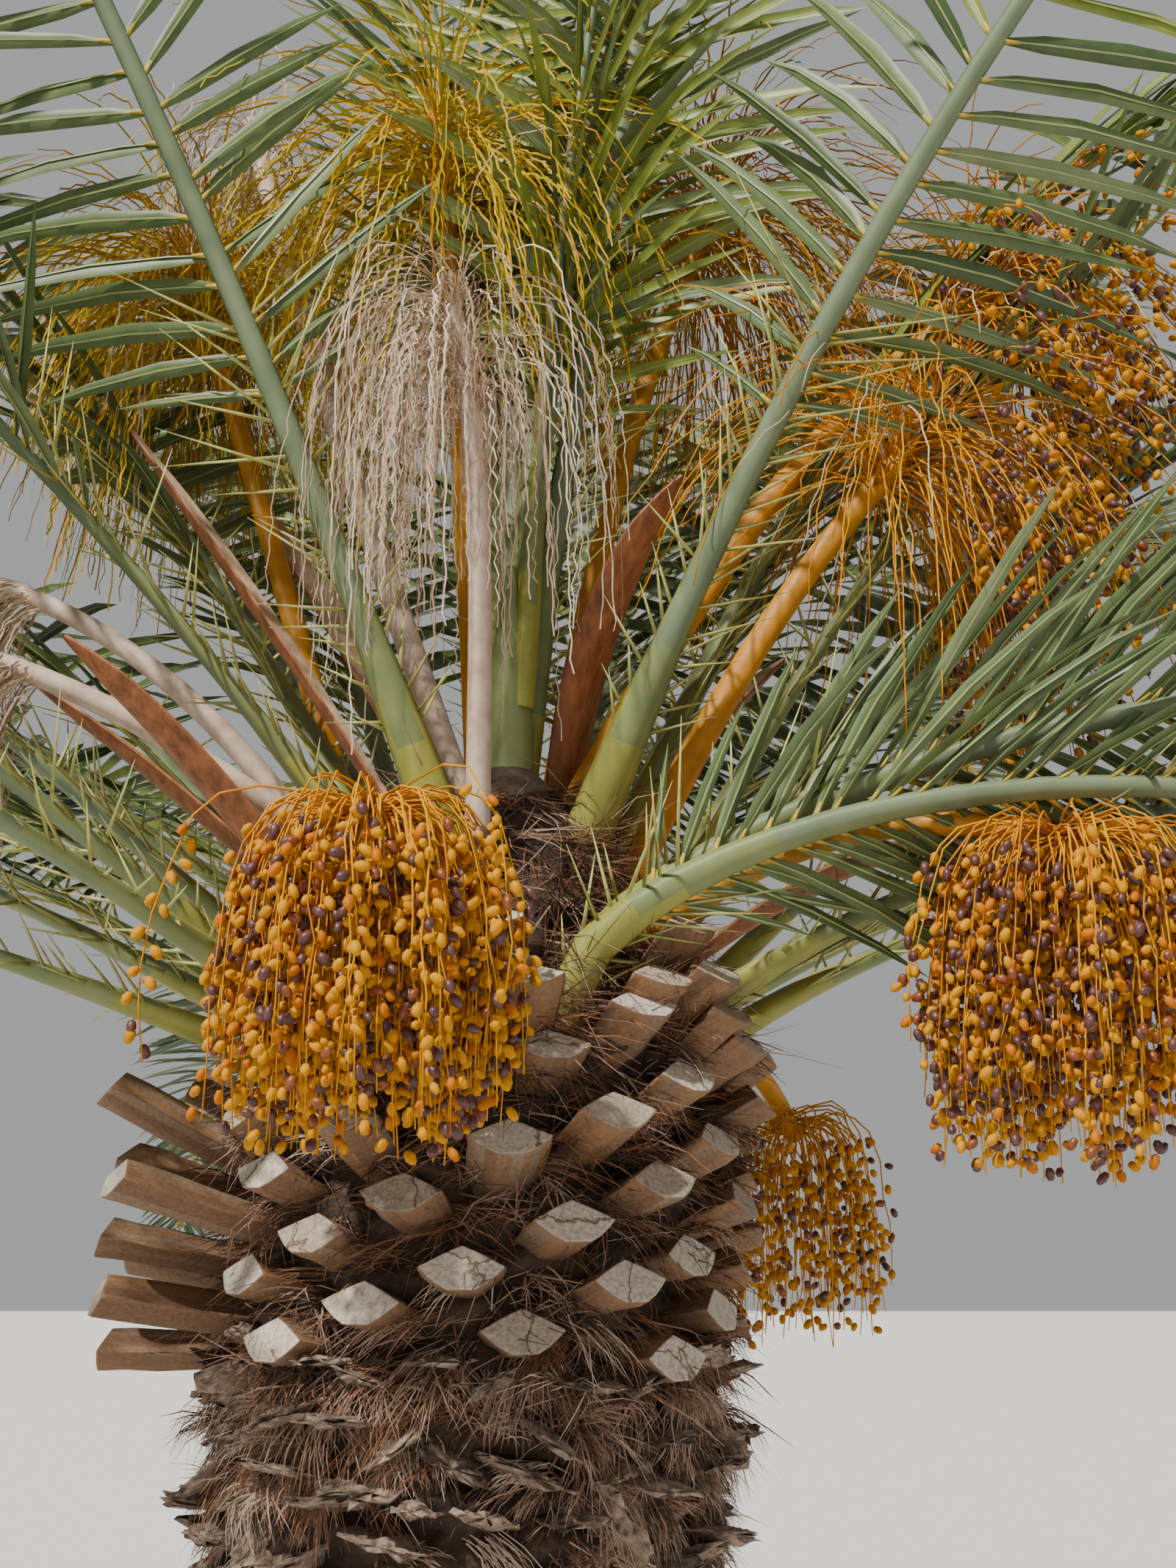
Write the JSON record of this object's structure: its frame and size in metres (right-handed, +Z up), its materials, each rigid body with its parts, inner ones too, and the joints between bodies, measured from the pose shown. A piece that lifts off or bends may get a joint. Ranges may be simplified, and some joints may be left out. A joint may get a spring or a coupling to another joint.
{
  "type": "date palm tree",
  "caption": "Date palm with a short thick trunk, cut frond stubs, arching fronds, hanging orange fruit clusters and dry mops.",
  "frame": {"origin": "middle of the flat cut under the trunk, at ground level", "axes": "+Z up along the trunk, -Y towards the side where the low fronds have been cut away and a fruit cluster hangs"},
  "size_m": [7.6458, 6.7306, 5.7545],
  "materials": {
    "bark": "rough fibrous bark with cut stubs",
    "frond": "waxy blue-green leaf",
    "young_frond": "young yellow-green leaf",
    "fruit": "smooth ripe dates",
    "strand": "smooth orange strands",
    "dry_strand": "dry straw",
    "sheath": "dry woody husk"
  },
  "bodies": {
    "root": {"trunk": "bark", "frond_01": "frond", "frond_08": "frond", "frond_10": "frond", "frond_11": "frond", "frond_12": "frond", "frond_15": "frond", "frond_17": "frond", "frond_22": "frond", "frond_24": "frond", "frond_27": "frond", "frond_30": "frond", "frond_32": "frond", "frond_33": "frond", "frond_34": "frond", "frond_35": "frond", "frond_38": "frond", "frond_40": "frond", "frond_41": "frond", "frond_45": "frond", "frond_46": "frond", "frond_47": "frond", "frond_48": "frond", "frond_49": "frond", "frond_50": "frond", "frond_51": "frond", "frond_53": "frond", "frond_54": "frond", "frond_57": "frond", "frond_58": "frond", "frond_59": "frond", "frond_62": "frond", "frond_64": "frond", "young_fronds": "young_frond", "fruit_cluster_1": "fruit", "fruit_cluster_2": "fruit", "fruit_cluster_3": "fruit", "fruit_cluster_4": "strand", "fruit_cluster_5": "strand", "fruit_cluster_6": "fruit", "fruit_cluster_7": "strand", "fruit_cluster_8": "fruit", "fruit_cluster_9": "fruit", "dry_mop_1": "dry_strand", "dry_mop_2": "dry_strand", "dry_mop_3": "dry_strand", "dry_mop_4": "dry_strand", "dry_mop_5": "dry_strand", "sheath_1": "sheath", "sheath_2": "sheath", "sheath_3": "sheath", "sheath_4": "sheath", "sheath_5": "sheath", "sheath_6": "sheath", "sheath_7": "sheath"}
  },
  "joints": []
}
